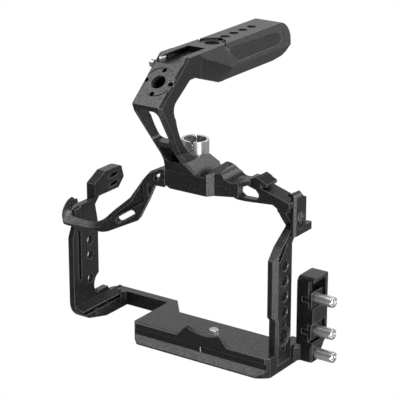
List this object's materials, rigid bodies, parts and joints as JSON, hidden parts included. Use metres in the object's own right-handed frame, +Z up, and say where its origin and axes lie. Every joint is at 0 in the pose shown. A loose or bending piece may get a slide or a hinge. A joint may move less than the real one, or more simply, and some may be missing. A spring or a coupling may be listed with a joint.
{
  "type": "camera cage",
  "caption": "Metal camera cage with a curved top handle, folding mounting knob, cable clamp, dovetail base and side walls with threaded holes.",
  "frame": {"origin": "underside of the base plate, on the axis of the camera screw", "axes": "+X towards the port side with the cable clamp, +Y from the lens side to the back, +Z up"},
  "size_m": [0.1757, 0.1423, 0.1978],
  "materials": {
    "black_anodised": "fine blasted, black anodised",
    "stainless": "turned, plain",
    "black_steel": "black oxide",
    "insert_rubber": "matte",
    "silver_knob": "bright satin",
    "silver_screw": "satin with bright ends"
  },
  "bodies": {
    "cage": {"base_plate": "black_anodised", "port_wall_screws": "black_steel", "grip_arm": "black_anodised", "grip_wall": "black_anodised", "grip_wall_screws": "black_steel", "grip_collar": "black_anodised", "collar_screws": "black_steel", "top_frame": "black_anodised", "beam_screws": "black_steel", "port_wall": "black_anodised", "handle_frame": "black_anodised", "handle_insert_right": "insert_rubber", "handle_insert_left": "insert_rubber", "handle_pins": "stainless", "clamp_body": "black_anodised"},
    "camera_screw": {"camera_screw": "stainless", "screw_retainer": "stainless"},
    "mount_knob": {"mount_knob": "silver_knob", "knob_pin": "stainless"},
    "knob_ring": {"knob_ring": "silver_knob"},
    "lock_plate": {"lock_plate": "black_anodised"},
    "lock_screw": {"lock_screw": "black_steel"},
    "jaw_upper": {"jaw_upper": "black_anodised", "jaw_pad_upper": "insert_rubber"},
    "jaw_lower": {"jaw_lower": "black_anodised", "jaw_pad_lower": "insert_rubber"},
    "thumbscrew_upper": {"thumbscrew_upper": "silver_screw"},
    "thumbscrew_lower": {"thumbscrew_lower": "silver_screw"},
    "thumbscrew_foot": {"thumbscrew_foot": "silver_screw"}
  },
  "joints": [
    {"name": "camera_screw_turn", "type": "hinge", "parent": "cage", "child": "camera_screw", "pos_m": [0, 0, 0.0065], "axis": [0, 0, 1], "continuous": true},
    {"name": "mount_knob_turn", "type": "hinge", "parent": "cage", "child": "mount_knob", "pos_m": [-0.0182, 0.0062, 0.1317], "axis": [0, 0, 1], "continuous": true},
    {"name": "knob_ring_fold", "type": "hinge", "parent": "mount_knob", "child": "knob_ring", "pos_m": [-0.0215, 0.00452, 0.13675], "axis": [-0.454, 0.891, 0], "range_deg": [0, 90]},
    {"name": "lock_plate_slide", "type": "slide", "parent": "cage", "child": "lock_plate", "axis": [0, 0, 1], "range_m": [0, 0.004]},
    {"name": "lock_screw_turn", "type": "hinge", "parent": "cage", "child": "lock_screw", "pos_m": [0.048, 0.0209, 0.0982], "axis": [1, 0, 0], "continuous": true},
    {"name": "jaw_upper_slide", "type": "slide", "parent": "cage", "child": "jaw_upper", "axis": [1, 0, 0], "range_m": [0, 0.002]},
    {"name": "jaw_lower_slide", "type": "slide", "parent": "cage", "child": "jaw_lower", "axis": [1, 0, 0], "range_m": [0, 0.002]},
    {"name": "thumbscrew_upper_turn", "type": "hinge", "parent": "jaw_upper", "child": "thumbscrew_upper", "pos_m": [0.06, 0.03, 0.0434], "axis": [1, 0, 0], "range_deg": [0, 1440]},
    {"name": "thumbscrew_lower_turn", "type": "hinge", "parent": "jaw_lower", "child": "thumbscrew_lower", "pos_m": [0.06, 0.03, 0.0218], "axis": [1, 0, 0], "range_deg": [0, 1440]},
    {"name": "thumbscrew_foot_turn", "type": "hinge", "parent": "cage", "child": "thumbscrew_foot", "pos_m": [0.06, 0.03, 0.0064], "axis": [1, 0, 0], "continuous": true}
  ],
  "couplings": [
    {"joint": "thumbscrew_upper_turn", "follows": "jaw_upper_slide", "rad_per_m": 12566},
    {"joint": "thumbscrew_lower_turn", "follows": "jaw_lower_slide", "rad_per_m": 12566}
  ]
}
